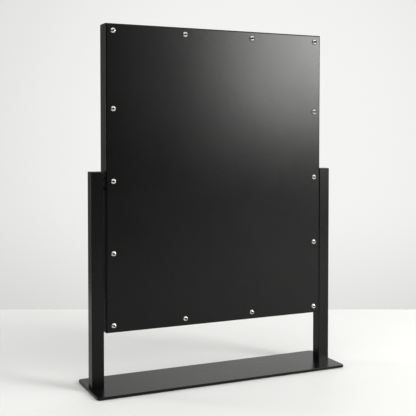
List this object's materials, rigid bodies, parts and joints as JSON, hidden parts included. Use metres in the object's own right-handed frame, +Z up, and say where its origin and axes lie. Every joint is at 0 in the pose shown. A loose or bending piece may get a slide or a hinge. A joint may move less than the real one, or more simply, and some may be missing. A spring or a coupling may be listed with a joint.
{
  "type": "countertop mirror",
  "caption": "Countertop mirror: a framed rectangular glass in a shallow black steel housing that tilts between two square posts on a flat base plate.",
  "frame": {"origin": "on the floor under the middle of the base plate", "axes": "+Z up, -Y the way the glass faces, +X along the tilt axis towards the mirror's own left post"},
  "size_m": [0.36, 0.088, 0.4672],
  "materials": {
    "black_coat": "satin black powder coat on steel",
    "black_plastic": "fine moulded texture",
    "stainless": "bright stainless steel",
    "zinc_steel": "bright zinc plate",
    "mirror": "silvered float glass",
    "nylon": "black nylon",
    "rubber_pad": "matt black rubber",
    "foam": "closed-cell foam",
    "tape": "foam tape",
    "hardboard": "pressed board"
  },
  "bodies": {
    "stand": {"base_plate": "black_coat", "base_pads": "rubber_pad", "base_screws": "zinc_steel", "left_post": "black_coat", "left_post_cap": "black_plastic", "left_post_insert": "zinc_steel", "left_pivot_nut": "zinc_steel", "left_pivot_bolt": "zinc_steel", "left_pivot_washer": "zinc_steel", "left_disc_spring": "zinc_steel", "right_post": "black_coat", "right_post_cap": "black_plastic", "right_post_insert": "zinc_steel", "right_pivot_nut": "zinc_steel", "right_pivot_bolt": "zinc_steel", "right_pivot_washer": "zinc_steel", "right_disc_spring": "zinc_steel"},
    "mirror": {"front_frame": "black_coat", "rear_cover": "black_coat", "cover_screws": "stainless", "cover_standoffs": "zinc_steel", "mirror_glass": "mirror", "glass_tape": "tape", "backing_board": "hardboard", "foam_blocks": "foam", "left_pivot_bush": "nylon", "left_pivot_block": "zinc_steel", "right_pivot_bush": "nylon", "right_pivot_block": "zinc_steel"}
  },
  "joints": [
    {"name": "mirror_tilt", "type": "hinge", "parent": "stand", "child": "mirror", "pos_m": [0, 0, 0.2645], "axis": [1, 0, 0], "continuous": true}
  ]
}
